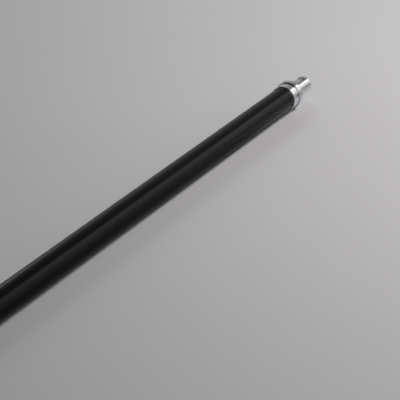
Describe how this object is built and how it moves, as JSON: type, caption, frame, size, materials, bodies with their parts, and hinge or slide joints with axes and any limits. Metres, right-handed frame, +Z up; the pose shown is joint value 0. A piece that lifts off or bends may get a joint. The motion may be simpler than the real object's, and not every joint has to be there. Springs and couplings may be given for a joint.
{
  "type": "slide didgeridoo",
  "caption": "Straight wind instrument: black outer tube, polished collar with a lock nut, and a polished inner tube that slides out to lower the note.",
  "frame": {"origin": "on the instrument's axis, at the rear shoulder of the mouth sleeve with the slide pushed in", "axes": "+X along the axis out of the mouth end, -X towards the bell end, +Z up with the instrument lying down"},
  "size_m": [1.4078, 0.0584, 0.0584],
  "materials": {
    "black_coat": "black anodised, satin",
    "band_rubber": "smooth black",
    "collar_metal": "turned and polished",
    "nut_metal": "turned and polished",
    "slide_metal": "drawn and polished",
    "sleeve_metal": "mirror polished",
    "lip_metal": "mirror polished",
    "screw_steel": "blackened",
    "sleeve_screw_steel": "polished stainless",
    "spring_steel": "phosphated",
    "bush_plastic": "machined acetal",
    "collet_plastic": "natural nylon",
    "seal_rubber": "moulded",
    "foot_rubber": "moulded matte"
  },
  "bodies": {
    "barrel": {"outer_tube": "black_coat", "end_band": "band_rubber", "tube_collar": "collar_metal", "collar_gasket": "seal_rubber", "bush_grub_screws": "screw_steel", "slide_bush": "bush_plastic", "slide_o_ring": "seal_rubber", "clamp_collet": "collet_plastic", "bell_ring": "collar_metal", "bell_o_ring": "seal_rubber", "bell_grub_screws": "screw_steel", "bell_foot": "foot_rubber"},
    "nut": {"lock_nut": "nut_metal"},
    "guide": {"guide_ring": "bush_plastic", "guide_o_ring": "seal_rubber"},
    "slide": {"slide_tube": "slide_metal", "mouth_sleeve": "sleeve_metal", "sleeve_screws": "sleeve_screw_steel", "screw_seals": "seal_rubber", "lip_ring": "lip_metal", "stop_bumper": "seal_rubber", "retaining_rings": "spring_steel"}
  },
  "joints": [
    {"name": "slide_pull", "type": "slide", "parent": "barrel", "child": "guide", "axis": [1, 0, 0], "range_m": [0, 0.5]},
    {"name": "slide_turn", "type": "hinge", "parent": "guide", "child": "slide", "pos_m": [-0.5, 0, 0], "axis": [1, 0, 0], "continuous": true},
    {"name": "lock_nut_turn", "type": "hinge", "parent": "barrel", "child": "nut", "pos_m": [-0.0065, 0, 0], "axis": [1, 0, 0], "range_deg": [0, 90]}
  ]
}
